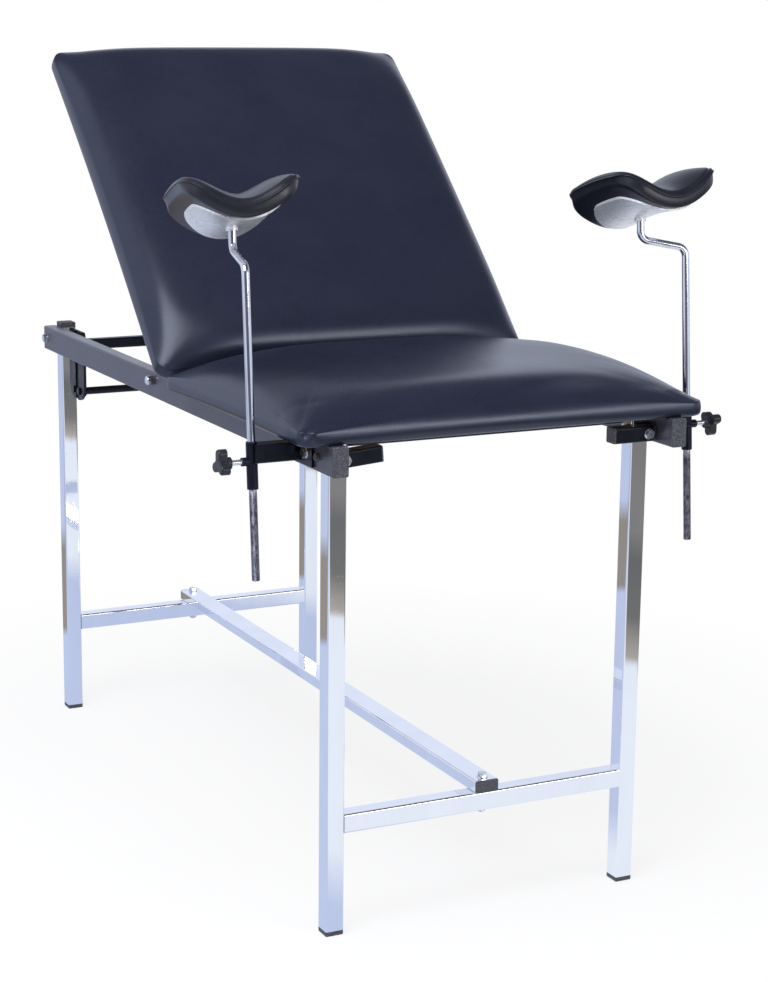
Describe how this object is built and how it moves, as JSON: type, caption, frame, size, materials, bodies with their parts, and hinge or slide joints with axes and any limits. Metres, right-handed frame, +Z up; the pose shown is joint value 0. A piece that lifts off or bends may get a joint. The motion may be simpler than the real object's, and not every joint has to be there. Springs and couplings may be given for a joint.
{
  "type": "gynecological examination table",
  "caption": "Examination table with chrome legs, a fixed seat cushion, a propped tilting backrest and swivelling knee crutches on height-adjustable rods.",
  "frame": {"origin": "on the floor, midway between the four feet", "axes": "+X to the right seen from the foot end, +Y towards the head end, +Z up"},
  "size_m": [0.9063, 1.3403, 1.3124],
  "materials": {
    "chrome_tube": "polished",
    "zinc_steel": "satin",
    "rail_paint": "satin",
    "black_paint": "satin",
    "cap_plastic": "matte",
    "knob_plastic": "satin",
    "nylon": "satin",
    "vinyl": "satin",
    "plywood": "matte",
    "crutch_foam": "satin",
    "aluminium_plate": "satin"
  },
  "bodies": {
    "frame": {"basin_bar_bolts": "zinc_steel", "basin_bar_caps": "cap_plastic", "basin_bar_left": "black_paint", "basin_bar_right": "black_paint", "foot_caps": "cap_plastic", "front_cross_rail": "chrome_tube", "front_leg_left": "chrome_tube", "front_leg_right": "chrome_tube", "front_tie_bar": "black_paint", "hinge_pins": "zinc_steel", "leg_top_caps": "cap_plastic", "prop_pivot_bolts": "zinc_steel", "prop_spacers": "cap_plastic", "rail_bolts": "zinc_steel", "rail_end_caps": "cap_plastic", "rail_hole_plugs": "cap_plastic", "rail_nuts": "zinc_steel", "rear_cross_rail": "chrome_tube", "rear_leg_left": "chrome_tube", "rear_leg_right": "chrome_tube", "rear_tie_bar": "black_paint", "roll_plate_left": "black_paint", "roll_plate_right": "black_paint", "roll_plate_screws": "zinc_steel", "seat_board": "plywood", "seat_brackets": "black_paint", "seat_pad": "vinyl", "seat_screws": "zinc_steel", "side_rail_left": "rail_paint", "side_rail_right": "rail_paint", "stirrup_arm_left": "black_paint", "stirrup_arm_right": "black_paint", "stretcher": "chrome_tube", "stretcher_bolts": "zinc_steel", "stretcher_caps": "cap_plastic"},
    "backrest": {"back_bar_left": "black_paint", "back_bar_right": "black_paint", "back_board": "plywood", "back_cross_bar": "black_paint", "back_pad": "vinyl", "back_screws": "zinc_steel", "ratchet_rack_left": "black_paint", "ratchet_rack_right": "black_paint"},
    "prop": {"prop_arm_left": "black_paint", "prop_arm_right": "black_paint", "prop_bar": "black_paint"},
    "roll_rod": {"roll_rod": "black_paint"},
    "liner_left": {"sleeve_liner_left": "nylon"},
    "stirrup_left": {"stirrup_rod_left": "chrome_tube", "crutch_plate_left": "aluminium_plate", "crutch_pad_left": "crutch_foam"},
    "knob_left": {"clamp_knob_left": "knob_plastic", "clamp_screw_left": "zinc_steel"},
    "liner_right": {"sleeve_liner_right": "nylon"},
    "stirrup_right": {"stirrup_rod_right": "chrome_tube", "crutch_plate_right": "aluminium_plate", "crutch_pad_right": "crutch_foam"},
    "knob_right": {"clamp_knob_right": "knob_plastic", "clamp_screw_right": "zinc_steel"}
  },
  "joints": [
    {"name": "backrest_tilt", "type": "hinge", "parent": "frame", "child": "backrest", "pos_m": [0, -0.093, 0.765], "axis": [1, 0, 0], "range_deg": [-43, 12]},
    {"name": "prop_swing", "type": "hinge", "parent": "frame", "child": "prop", "pos_m": [0, 0.03, 0.765], "axis": [1, 0, 0], "range_deg": [-86, 24]},
    {"name": "roll_rod_spin", "type": "hinge", "parent": "frame", "child": "roll_rod", "pos_m": [0, 0.589, 0.653], "axis": [1, 0, 0], "continuous": true},
    {"name": "swivel_left", "type": "hinge", "parent": "frame", "child": "liner_left", "pos_m": [-0.379, -0.588, 0.7575], "axis": [0, 0.0819, 0.9966], "range_deg": [-90, 90]},
    {"name": "height_left", "type": "slide", "parent": "liner_left", "child": "stirrup_left", "axis": [0, 0.0819, 0.9966], "range_m": [-0.15, 0.12]},
    {"name": "knob_turn_left", "type": "hinge", "parent": "frame", "child": "knob_left", "pos_m": [-0.379, -0.58898, 0.74554], "axis": [-1, 0, 0], "range_deg": [0, 300]},
    {"name": "swivel_right", "type": "hinge", "parent": "frame", "child": "liner_right", "pos_m": [0.379, -0.588, 0.7575], "axis": [0, 0.0819, 0.9966], "range_deg": [-90, 90]},
    {"name": "height_right", "type": "slide", "parent": "liner_right", "child": "stirrup_right", "axis": [0, 0.0819, 0.9966], "range_m": [-0.15, 0.12]},
    {"name": "knob_turn_right", "type": "hinge", "parent": "frame", "child": "knob_right", "pos_m": [0.379, -0.58898, 0.74554], "axis": [1, 0, 0], "range_deg": [0, 300]}
  ],
  "couplings": [
    {"joint": "prop_swing", "follows": "backrest_tilt", "ratio": 2}
  ]
}
